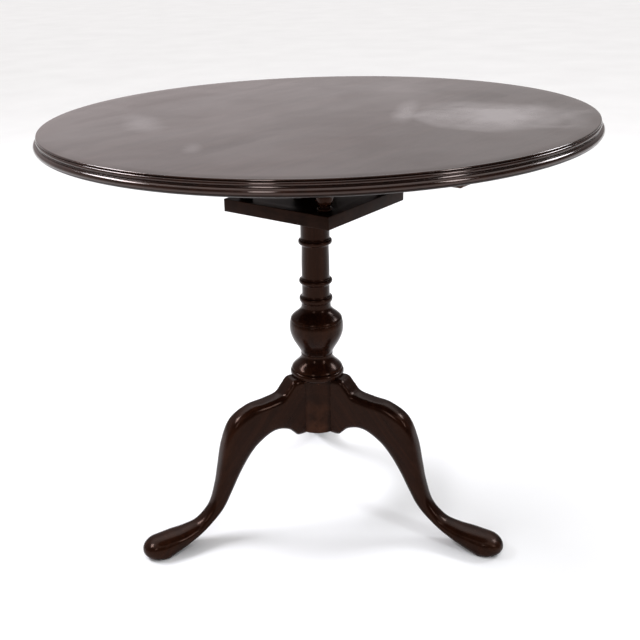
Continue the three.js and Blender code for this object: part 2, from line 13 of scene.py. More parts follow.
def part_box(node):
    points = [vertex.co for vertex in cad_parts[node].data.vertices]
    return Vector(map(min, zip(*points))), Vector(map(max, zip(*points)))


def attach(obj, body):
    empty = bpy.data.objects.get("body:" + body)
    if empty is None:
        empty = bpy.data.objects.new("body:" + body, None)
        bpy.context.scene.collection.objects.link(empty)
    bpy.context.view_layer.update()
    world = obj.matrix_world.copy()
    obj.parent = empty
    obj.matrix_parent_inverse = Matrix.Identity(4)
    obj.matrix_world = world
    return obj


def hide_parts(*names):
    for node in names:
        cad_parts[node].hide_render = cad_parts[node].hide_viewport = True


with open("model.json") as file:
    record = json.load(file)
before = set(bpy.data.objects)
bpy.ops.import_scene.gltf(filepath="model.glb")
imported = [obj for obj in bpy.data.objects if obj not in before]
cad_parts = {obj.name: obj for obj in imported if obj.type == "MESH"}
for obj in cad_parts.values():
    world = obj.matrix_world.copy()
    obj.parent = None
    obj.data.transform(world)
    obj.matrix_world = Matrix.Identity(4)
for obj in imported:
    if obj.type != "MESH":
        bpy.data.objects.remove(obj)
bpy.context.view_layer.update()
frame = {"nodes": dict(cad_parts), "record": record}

MM = 0.001

# ---------- sizes of the turnings and mouldings ----------
DRUM_RADIUS = 43 * MM
DRUM_HEIGHT = 100 * MM
DRUM_BASE_STEP = 0.5 * MM        # the let-in iron plate stands this far proud of the drum
LIP_PROUD = 4.4 * MM
LIP_HEIGHT = 13 * MM
CUSHION_PROUD = 2 * MM
CUSHION_HEIGHT = 26 * MM
WAIST_RADIUS = 27.2 * MM
BULB_RADIUS = 46.8 * MM
BULB_HEIGHT = 51 * MM
BULB_SHOULDER_HEIGHT = 14 * MM
BULB_NECK_RADIUS = 25.5 * MM
BULB_NECK_HEIGHT = 25 * MM
LOWER_RING_RISE = 13 * MM
RING_SPACING = 32.5 * MM
UPPER_RING_DROP = 60 * MM
RING_RADIUS = 28.6 * MM
SHAFT_FOOT_RADIUS = 23.8 * MM
SHAFT_TOP_RADIUS = 23.1 * MM
COLUMN_NECK_RADIUS = 24.6 * MM
COLUMN_FLARE_RADIUS = 27.6 * MM
COLUMN_FLARE_HEIGHT = 15 * MM
SPIGOT_RADIUS = 20 * MM
JOURNAL_RADIUS = 11 * MM
JOURNAL_LENGTH = 50 * MM
SPIGOT_TAPER = 8 * MM
MORTISE_PLAY = 0.4 * MM
MORTISE_DEPTH_PLAY = 3 * MM      # left open below the wedge
WEDGE_TAPER = 8 * MM             # from its thin end to its thick end

RIM_NOSE_DEPTH = 5.5 * MM
RIM_UNDERCUT = 12 * MM
RIM_NOSE_RISE = 8 * MM
RIM_BEAD_HEIGHT = 6.5 * MM
RIM_BEAD_DEPTH = 3 * MM
RIM_QUIRK_DEPTH = 2.5 * MM
RIM_STEP = 3.2 * MM
RIM_FILLET = 0.8 * MM
RIM_SURFACE_EDGE = 2.2 * MM
TOP_WAVINESS = 0.15 * MM         # an old board is never quite flat

PILLAR_RADIUS = 14.5 * MM
PILLAR_NECK_RADIUS = 8.5 * MM
PILLAR_TENON_RADIUS = 8 * MM

BLOCK_SEAT_GAP = 0.3 * MM        # between a turning's shoulder and the block it meets
SCREW_SINK = 0.62               # of a screw's head radius
BOLT_THICKNESS = 4 * MM
BOLT_KNOB_RADIUS = 3.5 * MM

LEG_WIDTH = 42 * MM
# Stations down a leg: back and underside as shares of its reach and rise, width and squareness.
LEG_STATIONS = [
    ((-0.030, 1.010), (-0.030, 0.612), 1.00, 7.0),
    ((0.034, 1.012), (0.022, 0.612), 1.00, 7.0),
    ((0.074, 0.968), (0.046, 0.634), 1.00, 6.0),
    ((0.117, 0.921), (0.080, 0.668), 1.00, 5.0),
    ((0.203, 0.902), (0.143, 0.690), 1.00, 4.5),
    ((0.310, 0.888), (0.204, 0.675), 1.00, 4.0),
    ((0.419, 0.820), (0.286, 0.612), 0.98, 3.6),
    ((0.480, 0.682), (0.347, 0.527), 0.90, 3.2),
    ((0.514, 0.515), (0.403, 0.423), 0.79, 3.0),
    ((0.537, 0.397), (0.444, 0.333), 0.72, 2.8),
    ((0.582, 0.254), (0.505, 0.215), 0.68, 2.6),
    ((0.662, 0.163), (0.588, 0.130), 0.75, 2.6),
    ((0.740, 0.136), (0.672, 0.075), 0.96, 2.7),
    ((0.820, 0.130), (0.765, 0.033), 1.17, 2.8),
    ((0.900, 0.126), (0.880, -0.018), 1.25, 2.8),
]

# ---------- camera ----------
CAMERA_PLACE = Vector((0.9294, -1.2289, 0.9874))
CAMERA_HEADING = math.radians(131.12)     # from +X, the way the camera looks
CAMERA_PITCH = math.radians(-23.06)
CAMERA_ROLL = math.radians(-2.54)
CAMERA_LENS = 53.4
CAMERA_SENSOR = 36
CAMERA_SHIFT = (0.101, 0.0345)


# ---------- outlines ----------
def arc(cx, cy, rx, ry, start, end, steps):
    """Points of an ellipse's arc about (cx, cy), from one angle to another in degrees."""
    angles = [math.radians(start + (end - start) * i / steps) for i in range(steps + 1)]
    return [(cx + rx * math.cos(a), cy + ry * math.sin(a)) for a in angles]


def swell(low, high, power, steps):
    """A turned curve between two radii, level at both ends."""
    points = []
    for i in range(steps + 1):
        t = i / steps
        share = math.sin(math.pi / 2 * t ** power) ** 2
        points.append((low[0] + (high[0] - low[0]) * share, low[1] + (high[1] - low[1]) * t))
    return points


def rounded(points, radius, steps=3):
    """The same outline with each inner corner turned into a small curve."""
    out = [points[0]]
    for before, corner, after in zip(points, points[1:], points[2:]):
        a, c, b = Vector(before), Vector(corner), Vector(after)
        reach = min(radius, (a - c).length / 2.2, (b - c).length / 2.2)
        start = c + (a - c).normalized() * reach
        end = c + (b - c).normalized() * reach
        for i in range(steps + 1):
            t = i / steps
            out.append(tuple((1 - t) ** 2 * start + 2 * t * (1 - t) * c + t * t * end))
    return out + [points[-1]]


# ---------- meshes ----------
CUT_ANGLE = 50                   # degrees; a sawn edge sharper than this is softened


def turned(profile, steps):
    """A closed bmesh turned about Z from (radius, height) points that start and end on the axis."""
    bm = bmesh.new()
    rings = []
    for radius, z in profile:
        if radius < 1e-7:
            rings.append([bm.verts.new((0, 0, z))])
            continue
        angles = [2 * math.pi * k / steps for k in range(steps)]
        ring = [bm.verts.new((radius * math.cos(a), radius * math.sin(a), z)) for a in angles]
        rings.append(ring)
    skin(bm, rings)
    return bm


def skin(bm, rings):
    """Faces between neighbouring rings of vertices; a ring of one vertex is a pole."""
    for low, high in zip(rings, rings[1:]):
        count = max(len(low), len(high))
        for k in range(count):
            n = (k + 1) % count
            corners = [low[k % len(low)], low[n % len(low)], high[n % len(high)],
                       high[k % len(high)]]
            unique = list(dict.fromkeys(corners))
            if len(unique) > 2:
                bm.faces.new(unique)
    bmesh.ops.recalc_face_normals(bm, faces=bm.faces)


def moved(bm, place):
    """The same bmesh, shifted by place."""
    bmesh.ops.translate(bm, verts=bm.verts, vec=Vector(place))
    return bm


def box_mesh(low, high):
    """A plain box used only to cut with."""
    bm = bmesh.new()
    size = [b - a for a, b in zip(low, high)]
    middle = [(a + b) / 2 for a, b in zip(low, high)]
    matrix = Matrix.Translation(middle) @ Matrix.Diagonal((*size, 1))
    bmesh.ops.create_cube(bm, size=1, matrix=matrix)
    return bm


def to_mesh(bm, name):
    """The bmesh as a new mesh; the bmesh is used up."""
    mesh = bpy.data.meshes.new(name)
    bm.to_mesh(mesh)
    bm.free()
    return mesh


def carved(bm, *cutters):
    """bm with each cutter taken away from it."""
    body = bpy.data.objects.new("carving", to_mesh(bm, "carving"))
    bpy.context.scene.collection.objects.link(body)
    tools = []
    for cutter in cutters:
        tool = bpy.data.objects.new("cutter", to_mesh(cutter, "cutter"))
        bpy.context.scene.collection.objects.link(tool)
        tools.append(tool)
        cut = body.modifiers.new("cut", "BOOLEAN")
        cut.operation = "DIFFERENCE"
        cut.solver = "EXACT"
        cut.object = tool
    evaluated = body.evaluated_get(bpy.context.evaluated_depsgraph_get())
    result = bmesh.new()
    result.from_mesh(evaluated.to_mesh())
    evaluated.to_mesh_clear()
    for item in (body, *tools):
        bpy.data.objects.remove(item)
    return result


def from_node(node, soften, sharp=CUT_ANGLE):
    """A copy of a CAD node's mesh, cleaned, with its sharp edges softened."""
    bm = bmesh.new()
    bm.from_mesh(frame["nodes"][node].data)
    bmesh.ops.remove_doubles(bm, verts=bm.verts, dist=0.01 * MM)
    bmesh.ops.dissolve_limit(bm, angle_limit=math.radians(1), verts=bm.verts, edges=bm.edges)
    hard = [e for e in bm.edges if len(e.link_faces) == 2
            and e.calc_face_angle(0) > math.radians(sharp)]
    bmesh.ops.bevel(bm, geom=hard, offset=soften, segments=3, profile=0.6, affect="EDGES",
                    clamp_overlap=True)
    bmesh.ops.triangulate(bm, faces=[f for f in bm.faces if len(f.verts) > 4])
    return bm


def mark_edges(mesh):
    """Stores how far each vertex stands out (worn) or lies in a hollow (grimy)."""
    bm = bmesh.new()
    bm.from_mesh(mesh)
    bm.normal_update()
    raw = []
    for vertex in bm.verts:
        total, length = 0.0, 0.0
        for edge in vertex.link_edges:
            away = vertex.co - edge.other_vert(vertex).co
            total += away.dot(vertex.normal)
            length += away.length
        raw.append(total / length if length else 0.0)
    links = [[e.other_vert(v).index for e in v.link_edges] for v in bm.verts]
    bm.free()
    for _ in range(2):
        raw = [0.5 * value + 0.5 * sum(raw[k] for k in near) / max(1, len(near))
               for value, near in zip(raw, links)]
    layer = mesh.attributes.new("edges", "FLOAT_VECTOR", "POINT")
    flat = []
    for value in raw:
        flat += [min(1.0, max(0.0, value * 5)), min(1.0, max(0.0, -value * 5)), 0.0]
    layer.data.foreach_set("vector", flat)


def mark_grain(mesh, along, offset):
    """Stores each vertex's place in its board: two directions across the grain, then along it."""
    along = Vector(along).normalized()
    side = along.cross(Vector((0, 0, 1)))
    side = side.normalized() if side.length > 0.1 else Vector((1, 0, 0))
    other = along.cross(side)
    flat = []
    for vertex in mesh.vertices:
        place = vertex.co + Vector(offset)
        flat += [place.dot(side), place.dot(other), place.dot(along)]
    layer = mesh.attributes.new("grain", "FLOAT_VECTOR", "POINT")
    layer.data.foreach_set("vector", flat)


SHARP_ANGLE = 38                 # degrees; a sharper edge than this isn't smoothed
board = itertools.count()        # numbers the boards, so that no two share their grain


def add_piece(name, bm, body, nodes, material, along=(0, 0, 1), sharp=SHARP_ANGLE):
    """Makes a bmesh into a shown piece that stands for its CAD nodes and rides on their body."""
    mesh = to_mesh(bm, name)
    mesh.shade_smooth()
    mesh.set_sharp_from_angle(angle=math.radians(sharp))
    number = next(board)
    mark_grain(mesh, along, (0.37 * number, 0.11 * number, 0.53 * number))
    mark_edges(mesh)
    mesh.materials.append(material)
    piece = bpy.data.objects.new(name, mesh)
    bpy.context.scene.collection.objects.link(piece)
    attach(piece, body)
    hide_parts(*nodes)
    return piece


# ---------- materials ----------
class Nodes:
    """A small helper that makes and links shader nodes."""

    def __init__(self, tree):
        self.tree = tree
        tree.nodes.clear()

    def make(self, kind, settings=None, **inputs):
        node = self.tree.nodes.new("ShaderNode" + kind)
        for key, value in (settings or {}).items():
            setattr(node, key, value)
        for key, value in inputs.items():
            socket = node.inputs[int(key[1:])] if key[0] == "i" else node.inputs[key]
            if isinstance(value, bpy.types.NodeSocket):
                self.tree.links.new(value, socket)
            else:
                socket.default_value = value
        return node

    def math(self, operation, a, b=0.0, clamp=False):
        node = self.make("Math", {"operation": operation, "use_clamp": clamp}, i0=a, i1=b)
        return node.outputs[0]

    def mix(self, share, a, b, blend="MIX"):
        node = self.make("Mix", {"data_type": "RGBA", "blend_type": blend}, i0=share, i6=a, i7=b)
        return node.outputs[2]

    def stretch(self, vector, scale):
        return self.make("Mapping", i0=vector, i3=scale).outputs[0]

    def noise(self, vector, scale, detail=4.0, distortion=0.0):
        node = self.make("TexNoise", i0=vector, Scale=scale, Detail=detail)
        node.inputs["Distortion"].default_value = distortion
        return node.outputs[0]

    def ramp(self, value, stops):
        node = self.make("ValToRGB", i0=value)
        elements = node.color_ramp.elements
        while len(elements) < len(stops):
            elements.new(0.5)
        for element, (place, colour) in zip(elements, stops):
            element.position = place
            element.color = (*colour, 1) if len(colour) == 3 else colour
        return node.outputs[0]

    def between(self, value, low, high, start=0.0, end=1.0):
        node = self.make("MapRange", i0=value, i1=low, i2=high, i3=start, i4=end)
        return node.outputs[0]

    def bump(self, height, strength, distance, normal=None):
        node = self.make("Bump", Height=height, Strength=strength, Distance=distance)
        if normal is not None:
            self.tree.links.new(normal, node.inputs["Normal"])
        return node.outputs[0]

    def finish(self, **inputs):
        shader = self.make("BsdfPrincipled")
        for key, value in inputs.items():
            socket = shader.inputs[key.replace("_", " ")]
            if isinstance(value, bpy.types.NodeSocket):
                self.tree.links.new(value, socket)
            else:
                socket.default_value = value
        output = self.make("OutputMaterial")
        self.tree.links.new(shader.outputs[0], output.inputs[0])


def material_nodes(name):
    """A new material and the helper that builds its nodes."""
    material = bpy.data.materials.new(name)
    material.use_nodes = True
    return material, Nodes(material.node_tree)


def edge_masks(n, place):
    """Two masks, worn arrises and grimy hollows, each broken up by noise."""
    edges = n.make("Attribute", {"attribute_name": "edges"}).outputs["Vector"]
    parts = n.make("SeparateXYZ", i0=edges)
    patchy = n.noise(place, 45.0, 5.0)
    worn = n.math("MULTIPLY", parts.outputs[0], n.between(patchy, 0.38, 0.62), clamp=True)
    grimy = n.math("MULTIPLY", parts.outputs[1], n.between(patchy, 0.75, 0.35), clamp=True)
    return worn, grimy


def wood_pattern(n, grain, tones, pore_depth):
    """Colour, pores and streaks of mahogany in a board's own coordinates."""
    dark, middle, light = tones
    board_tone = n.noise(n.stretch(grain, (6, 6, 1.2)), 1.0, 3.0, 0.6)
    stripe = n.noise(n.stretch(grain, (95, 95, 2.6)), 1.0, 5.0, 0.35)
    fine = n.noise(n.stretch(grain, (420, 420, 9)), 1.0, 3.0)
    ribbon = n.noise(n.stretch(grain, (38, 38, 10)), 1.0, 2.0, 1.2)
    mixed = n.math("ADD", n.math("MULTIPLY", stripe, 0.5), n.math("MULTIPLY", fine, 0.22))
    mixed = n.math("ADD", mixed, n.math("MULTIPLY", ribbon, 0.16))
    mixed = n.math("ADD", mixed, n.math("MULTIPLY", board_tone, 0.3))
    colour = n.ramp(mixed, [(0.44, dark), (0.59, middle), (0.80, light)])
    dashes = n.noise(n.stretch(grain, (1500, 1500, 55)), 1.0, 2.0)
    pores = n.between(dashes, 0.66, 0.74)
    colour = n.mix(n.math("MULTIPLY", pores, pore_depth), colour, (*dark[:3], 1))
    return colour, pores, stripe


def wood(name, tones, worn_tone, grime_tone, rough, specular, coat=0.0, bloom_and_glare_patches=(), pore_depth=0.6,
         tint=(1.0, 0.60, 0.46, 1)):
    """Mahogany: rough is the smoothest and dullest roughness of its finish."""
    material, n = material_nodes(name)
    grain = n.make("Attribute", {"attribute_name": "grain"}).outputs["Vector"]
    place = n.make("TexCoord").outputs["Object"]
    colour, pores, stripe = wood_pattern(n, grain, tones, pore_depth)
    worn, grimy = edge_masks(n, place)
    colour = n.mix(n.math("MULTIPLY", worn, 0.75), colour, (*worn_tone, 1))
    colour = n.mix(n.math("MULTIPLY", grimy, 0.85), colour, (*grime_tone, 1))
    smears = n.noise(n.stretch(place, (5, 5, 5)), 1.0, 6.0, 0.8)
    roughness = n.between(smears, 0.3, 0.75, rough[0], rough[1])
    roughness = n.math("ADD", roughness, n.math("MULTIPLY", pores, 0.08))
    roughness = n.math("ADD", roughness, n.math("MULTIPLY", grimy, 0.25))
    roughness = n.math("ADD", roughness, n.math("MULTIPLY", worn, 0.08), clamp=True)
    if bloom_and_glare_patches:
        bloom_and_glare = bloom_and_glare_mask(n, place, bloom_and_glare_patches)
        # pale grey where the patches lie: partly a real milky bloom in the polish, partly painted
        # glare of reflected window light
        colour = n.mix(n.math("MULTIPLY", bloom_and_glare, 0.75), colour, (0.30, 0.275, 0.275, 1))
        roughness = n.math("ADD", roughness, n.math("MULTIPLY", bloom_and_glare, 0.12), clamp=True)
    if coat:
        wax = n.noise(n.stretch(grain, (9, 9, 6)), 1.0, 5.0, 0.8)
        wax = n.math("ADD", n.math("MULTIPLY", wax, 0.82), n.math("MULTIPLY", stripe, 0.18))
        coat = n.between(wax, 0.36, 0.64, coat * 0.74, coat * 1.16)
    waves = n.noise(place, 9.0, 2.0)
    normal = n.bump(waves, 0.12, 2 * MM)
    normal = n.bump(stripe, 0.10, 0.10 * MM, normal)
    normal = n.bump(n.math("SUBTRACT", 1.0, pores), 0.35, 0.06 * MM, normal)
    n.finish(Base_Color=colour, Roughness=roughness, Normal=normal, Specular_IOR_Level=specular,
             Specular_Tint=tint, Coat_Weight=coat, Coat_Roughness=0.12)
    return material


def bloom_and_glare_mask(n, place, bloom_and_glare_patches):
    """Cloudy patches in the polish, partly real bloom and partly painted glare of reflected light,
    each an ellipse with a ragged edge: x, y, half sizes, turn.
    """
    ragged = n.noise(n.stretch(place, (8, 8, 8)), 1.0, 4.0, 0.9)
    streaks = n.noise(n.stretch(place, (34, 7, 7)), 1.0, 2.0)
    total = None
    for x, y, across, along, turn, strength in bloom_and_glare_patches:
        spot = n.make("Mapping", {"vector_type": "TEXTURE"}, i0=place, i1=(x, y, 0),
                      i2=(0, 0, math.radians(turn)), i3=(across, along, 1e6)).outputs[0]
        far = n.make("VectorMath", {"operation": "LENGTH"}, i0=spot).outputs["Value"]
        far = n.math("ADD", far, n.math("MULTIPLY", n.math("SUBTRACT", ragged, 0.5), 1.3))
        far = n.math("ADD", far, n.math("MULTIPLY", n.math("SUBTRACT", streaks, 0.5), 0.35))
        soft = n.between(far, 1.1, 0.25, 0.0, strength)
        total = soft if total is None else n.math("MAXIMUM", total, soft)
    return total


def metal(name, bright, tarnish, rough, metallic, spots):
    """Old metal: bright where it is handled, dark in its corners and pits."""
    material, n = material_nodes(name)
    place = n.make("TexCoord").outputs["Object"]
    worn, grimy = edge_masks(n, place)
    cloudy = n.noise(place, spots, 6.0, 0.6)
    share = n.between(cloudy, 0.36, 0.64)
    colour = n.mix(share, (*bright, 1), (*tarnish, 1))
    colour = n.mix(n.math("MULTIPLY", worn, 0.6), colour, (*bright, 1))
    colour = n.mix(n.math("MULTIPLY", grimy, 0.9), colour, tuple(c * 0.3 for c in tarnish) + (1,))
    roughness = n.between(cloudy, 0.3, 0.7, rough[0], rough[1])
    scratches = n.noise(n.stretch(place, (2400, 260, 2400)), 1.0, 2.0)
    normal = n.bump(cloudy, 0.25, 0.25 * MM)
    normal = n.bump(scratches, 0.12, 0.03 * MM, normal)
    n.finish(Base_Color=colour, Roughness=roughness, Normal=normal, Metallic=metallic)
    return material


POLISH_TONES = [(0.0048, 0.0017, 0.0010), (0.0100, 0.0031, 0.0016), (0.0210, 0.0064, 0.0029)]
# A darker copy of the polished tones: painted shade for faces under the top.
PAINTED_SHADE_TONES = [(0.0028, 0.0013, 0.0010), (0.0065, 0.0028, 0.0018), (0.0130, 0.0052, 0.0031)]
WORN_TONE = (0.050, 0.018, 0.009)
GRIME_TONE = (0.0035, 0.0022, 0.0018)
# Cloudy patches in the polish of the top, partly real bloom and partly painted glare of reflected
# light: x, y, half sizes, turn in degrees, strength.
TOP_BLOOM_AND_GLARE_PATCHES = [
    (0.256, 0.123, 0.135, 0.125, 41, 1.0),
    (0.120, 0.085, 0.022, 0.110, 28, 0.6),
    (-0.200, -0.185, 0.036, 0.095, 55, 0.46),
    (0.010, -0.290, 0.014, 0.040, 40, 0.26),
    (-0.06, 0.30, 0.16, 0.11, 20, 0.22),
]

polished = wood("polished_mahogany", POLISH_TONES, WORN_TONE, GRIME_TONE, (0.13, 0.27), 0.13)
moulding = wood("polished_moulding", POLISH_TONES, WORN_TONE, GRIME_TONE, (0.08, 0.15), 0.5,
                tint=(1.0, 0.80, 0.74, 1))
# A darker, duller copy of the mahogany; its colour is painted shade for the top's underside and the
# lower block.
painted_shade_wood = wood("shade_painted_mahogany", PAINTED_SHADE_TONES, (0.030, 0.012, 0.007), GRIME_TONE, (0.3, 0.5),
              0.06)
waxed = wood("waxed_surface", POLISH_TONES, WORN_TONE, GRIME_TONE, (0.14, 0.26), 0.5,
             coat=0.7, bloom_and_glare_patches=TOP_BLOOM_AND_GLARE_PATCHES, tint=(1, 1, 1, 1))
dull = wood("unpolished_mahogany",
            [(0.012, 0.0060, 0.0034), (0.027, 0.0130, 0.0068), (0.052, 0.0260, 0.0135)],
            (0.075, 0.040, 0.022), (0.007, 0.0045, 0.0032), (0.5, 0.72), 0.25, pore_depth=0.8)
brass = metal("old_brass", (0.52, 0.36, 0.14), (0.13, 0.085, 0.04), (0.24, 0.5), 1.0, 160.0)
iron = metal("forged_iron", (0.10, 0.095, 0.09), (0.035, 0.03, 0.027), (0.45, 0.75), 0.85, 220.0)


# ---------- top ----------
def rim_profile(radius, low, high):
    """The top's section from the middle of its underside, round the rim, to its middle above."""
    root = radius - RIM_NOSE_DEPTH
    nose = low + RIM_NOSE_RISE
    bead_top = high - RIM_STEP
    bead_foot = bead_top - RIM_BEAD_HEIGHT
    nose_top = bead_foot - RIM_FILLET
    bead = (bead_foot + bead_top) / 2
    flat = [root - RIM_SURFACE_EDGE - i * (root / 26) for i in range(26)]
    return [
        (0, low), (radius * 0.5, low), (radius - 3 * RIM_UNDERCUT, low),
        *arc(radius - RIM_UNDERCUT, nose, RIM_UNDERCUT, RIM_NOSE_RISE, -90, 0, 16),
        *arc(root, nose, RIM_NOSE_DEPTH, nose_top - nose, 6, 90, 14),
        *arc(root - 2 * MM, bead, RIM_BEAD_DEPTH, RIM_BEAD_HEIGHT / 2, -60, 90, 14),
        (root - RIM_QUIRK_DEPTH, bead_top + 0.25 * RIM_FILLET),
        (root - RIM_QUIRK_DEPTH + 0.2 * MM, bead_top + RIM_FILLET),
        (root - 0.4 * MM, bead_top + RIM_FILLET + 0.6 * MM),
        *arc(root - RIM_SURFACE_EDGE, high - RIM_SURFACE_EDGE,
             RIM_SURFACE_EDGE, RIM_SURFACE_EDGE, 0, 90, 5),
        *[(r, high) for r in flat[1:]],
        (0, high),
    ]


def table_top():
    """The top: rim in moulding polish, upper surface waxed, underside and lower nose in a darker
    copy of the wood, painted shade.
    """
    low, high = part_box("table_top")
    bm = turned(rim_profile(high.x, low.z, high.z), 320)
    for vertex in bm.verts:
        if vertex.co.z > high.z - 0.05 * MM:
            inward = min(1.0, (high.x - vertex.co.xy.length) / (60 * MM))
            wave = noise.noise(Vector((vertex.co.x * 7, vertex.co.y * 3, 1.3)))
            vertex.co.z -= TOP_WAVINESS * inward * (0.5 + 0.5 * wave)
    piece = add_piece("moulded_top", bm, "top", ["table_top"], moulding,
                      along=(0, 1, 0))
    piece.data.materials.append(waxed)
    piece.data.materials.append(painted_shade_wood)
    # Faces on top take the waxed finish; faces under the nose take the darker wood, painted shade.
    for face in piece.data.polygons:
        if face.center.z > high.z - 0.3 * MM:
            face.material_index = 1
        elif face.center.z < low.z + 0.7 * RIM_NOSE_RISE:
            face.material_index = 2


# ---------- column ----------
def ring_profile(z, below, above):
    """A ring at height z with a hollow and a step on each side, between two shaft radii."""
    bead, hollow, step = 4 * MM, 8.5 * MM, 1.5 * MM
    root = max(below, above) + step
    return [
        (below, z - hollow),
        *arc(below + step * 2, z - hollow, step * 2, hollow - bead, 180, 120, 4)[1:],
        (below + step, z - bead - 0.3 * MM), (root - 0.4 * MM, z - bead),
        *arc(root, z, RING_RADIUS - root, bead, -75, 75, 12),
        (root - 0.4 * MM, z + bead), (above + step, z + bead + 0.3 * MM),
        *arc(above + step * 2, z + hollow, step * 2, hollow - bead, 240, 180, 4)[:-1],
        (above, z + hollow),
    ]


def column_profile(low, high):
    """The column's section: drum, lip, cushion, waist, bulb, rings, shaft, flare and spigot."""
    drum_top = low + DRUM_HEIGHT
    lip_top = drum_top + LIP_HEIGHT
    cushion_foot = lip_top + 1.5 * MM
    waist = cushion_foot + CUSHION_HEIGHT
    widest = waist + BULB_HEIGHT
    incised = widest + BULB_SHOULDER_HEIGHT
    bulb_neck = incised + BULB_NECK_HEIGHT
    lower_ring = bulb_neck + LOWER_RING_RISE
    middle_ring = lower_ring + RING_SPACING
    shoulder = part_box("lower_block")[0].z - BLOCK_SEAT_GAP
    upper_ring = shoulder - UPPER_RING_DROP
    shoulder_radius = BULB_RADIUS - 1.6 * MM
    groove = 0.8 * MM
    taper_top = high - JOURNAL_LENGTH
    lip_middle = drum_top + LIP_HEIGHT / 2
    start = low + DRUM_BASE_STEP
    return [
        (0, start), (DRUM_RADIUS - 1 * MM, start), (DRUM_RADIUS, start + 1 * MM),
        (DRUM_RADIUS, drum_top - 0.5 * MM), (DRUM_RADIUS + 0.8 * MM, drum_top),
        *arc(DRUM_RADIUS, lip_middle, LIP_PROUD, LIP_HEIGHT / 2, -78, 78, 16),
        (DRUM_RADIUS, lip_top - 0.2 * MM), (DRUM_RADIUS - 0.3 * MM, lip_top + 0.6 * MM),
        *swell((DRUM_RADIUS + CUSHION_PROUD, cushion_foot), (WAIST_RADIUS, waist), 0.75, 22),
        (WAIST_RADIUS + 0.9 * MM, waist + 0.3 * MM), (WAIST_RADIUS + 0.9 * MM, waist + 1.3 * MM),
        *swell((WAIST_RADIUS + 0.2 * MM, waist + 1.6 * MM), (BULB_RADIUS, widest), 0.75, 30),
        (BULB_RADIUS - 0.1 * MM, widest + 0.3 * BULB_SHOULDER_HEIGHT),
        (BULB_RADIUS - 0.5 * MM, widest + 0.6 * BULB_SHOULDER_HEIGHT),
        (shoulder_radius, incised - 3 * groove),
        (shoulder_radius - 0.2 * MM, incised - 2.2 * groove),
        (shoulder_radius - groove, incised - 1.6 * groove),
        (shoulder_radius - 0.1 * MM, incised - groove),
        (shoulder_radius - 0.1 * MM, incised),
        (shoulder_radius - groove, incised + 0.6 * groove),
        *swell((shoulder_radius - 0.3 * MM, incised + 1.2 * groove),
               (BULB_NECK_RADIUS, bulb_neck), 0.85, 22),
        *ring_profile(lower_ring, BULB_NECK_RADIUS, SHAFT_FOOT_RADIUS),
        *ring_profile(middle_ring, SHAFT_FOOT_RADIUS, SHAFT_FOOT_RADIUS),
        (SHAFT_FOOT_RADIUS, (middle_ring + upper_ring) / 2),
        *ring_profile(upper_ring, SHAFT_TOP_RADIUS, COLUMN_NECK_RADIUS),
        *swell((COLUMN_NECK_RADIUS, shoulder - COLUMN_FLARE_HEIGHT),
               (COLUMN_FLARE_RADIUS, shoulder - 1.2 * MM), 1.5, 8),
        (COLUMN_FLARE_RADIUS, shoulder - 0.5 * MM), (COLUMN_FLARE_RADIUS - 0.5 * MM, shoulder),
        (SPIGOT_RADIUS, shoulder), (SPIGOT_RADIUS, taper_top - SPIGOT_TAPER),
        (JOURNAL_RADIUS, taper_top), (JOURNAL_RADIUS, high - 0.8 * MM),
        (JOURNAL_RADIUS - 0.8 * MM, high), (0, high),
    ]


def column():
    """The turned column with the wedge's mortise cut through its spigot."""
    low, high = (corner.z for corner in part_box("column"))
    wedge_low, wedge_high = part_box("cage_wedge")
    share = (wedge_high.y + SPIGOT_RADIUS) / (wedge_high.y - wedge_low.y)
    mortise = box_mesh(
        (wedge_low.x - MORTISE_PLAY, -2 * SPIGOT_RADIUS, wedge_low.z - MORTISE_DEPTH_PLAY),
        (wedge_high.x + MORTISE_PLAY, 2 * SPIGOT_RADIUS,
         wedge_high.z - (1 - share) * WEDGE_TAPER + MORTISE_PLAY))
    bm = carved(turned(column_profile(low, high), 128), mortise)
    add_piece("turned_column", bm, "pedestal", ["column"], polished)


# ---------- legs ----------
def catmull(points, t):
    """A point on the smooth curve through points, t from 0 to 1."""
    spans = len(points) - 1
    i = min(int(t * spans), spans - 1)
    u = t * spans - i
    p0 = points[max(i - 1, 0)]
    p1, p2 = points[i], points[i + 1]
    p3 = points[min(i + 2, spans)]
    return 0.5 * (2 * p1 + (p2 - p0) * u + (2 * p0 - 5 * p1 + 4 * p2 - p3) * u * u
                  + (3 * p1 - p0 - 3 * p2 + p3) * u ** 3)


def leg_sections(reach, rise, tip):
    """Back point, underside point, width and squareness down a leg that points along +X."""
    def spot(shares):
        return Vector((DRUM_RADIUS + shares[0] * reach, 0, shares[1] * rise))
    backs = [spot(s[0]) for s in LEG_STATIONS]
    unders = [spot(s[1]) for s in LEG_STATIONS]
    fits = [Vector((s[2] * LEG_WIDTH, s[3], 0)) for s in LEG_STATIONS]
    steps = 110
    sections = []
    for i in range(steps + 1):
        t = i / steps
        fit = catmull(fits, t)
        sections.append((catmull(backs, t), catmull(unders, t), fit.x, fit.y))
    back, under, width, square = sections[-1]
    middle = (back.z + under.z) / 2
    for i in range(1, 16):
        angle = math.radians(6 * i - 2)
        shrink = math.cos(angle)
        ends = [Vector((p.x + (tip - p.x) * math.sin(angle), 0, middle + (p.z - middle) * shrink))
                for p in (back, under)]
        sections.append((*ends, width * shrink, square))
    return sections


